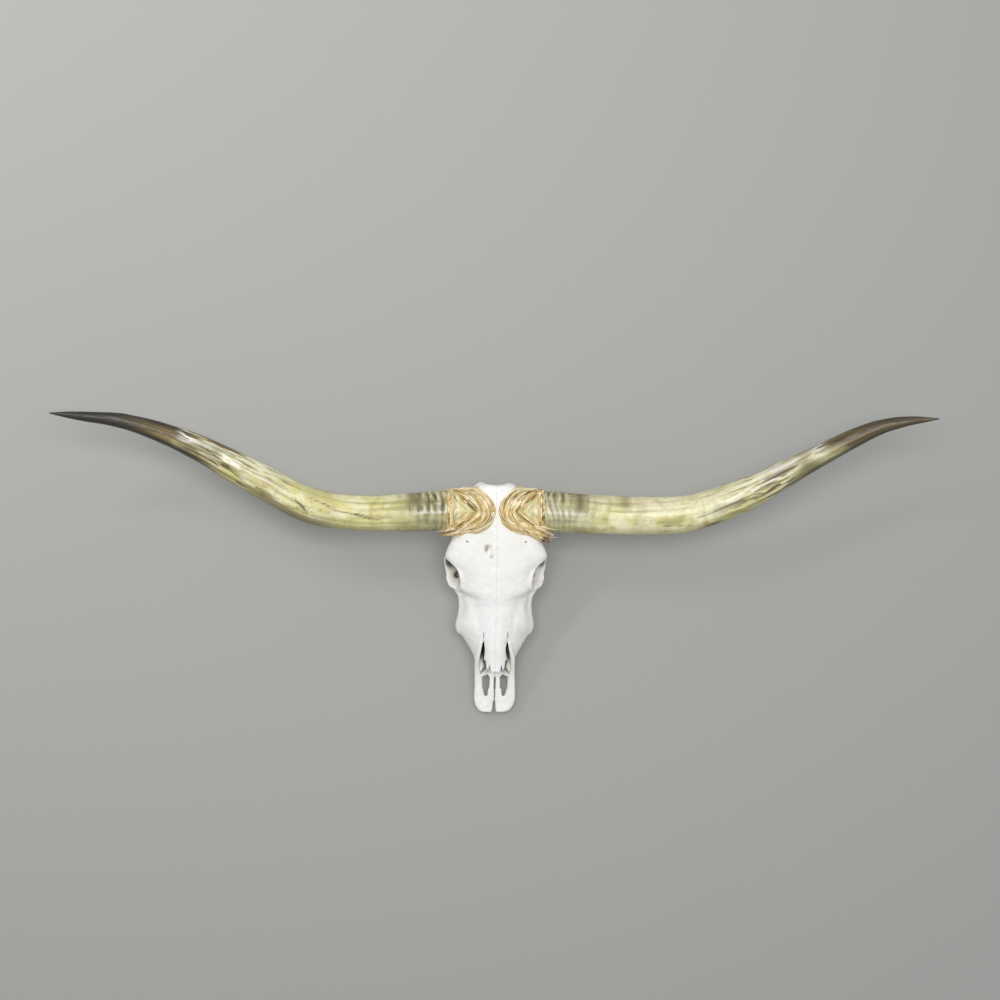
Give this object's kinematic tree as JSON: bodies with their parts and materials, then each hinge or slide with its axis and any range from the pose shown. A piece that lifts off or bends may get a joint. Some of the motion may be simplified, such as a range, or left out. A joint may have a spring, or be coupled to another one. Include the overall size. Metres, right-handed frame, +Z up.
{
  "type": "longhorn steer skull",
  "caption": "Cleaned upper skull of a longhorn steer lying face up, with wide upswept horns, cheek teeth, open eye sockets and a frayed skirt round each horn base.",
  "frame": {"origin": "middle of the footprint, on the surface that the skull lies on", "axes": "+Z up, away from the floor and out of the forehead; -Y towards the nose; +X towards the animal's own left horn"},
  "size_m": [1.8837, 0.6688, 0.2895],
  "materials": {
    "bone": "bleached dry bone, matt, with fine pits and hairline sutures",
    "horn": "polished horn, cream and olive in streaks, dark brown at the tips",
    "skirt": "frayed old keratin and hide, tan to gold, fibrous"
  },
  "bodies": {
    "root": {"nasal_left": "bone", "nasal_right": "bone", "premaxilla_left": "bone", "premaxilla_right": "bone", "lacrimal_left": "bone", "lacrimal_right": "bone", "zygomatic_left": "bone", "zygomatic_right": "bone", "frontal_left": "bone", "frontal_right": "bone", "temporal_left": "bone", "temporal_right": "bone", "palatine_left": "bone", "palatine_right": "bone", "maxilla_left": "bone", "maxilla_right": "bone", "vomer": "bone", "occipital": "bone", "parietal": "bone", "sphenoid": "bone", "horn_left": "horn", "horn_right": "horn", "horn_skirt_left": "skirt", "horn_skirt_right": "skirt"}
  },
  "joints": []
}
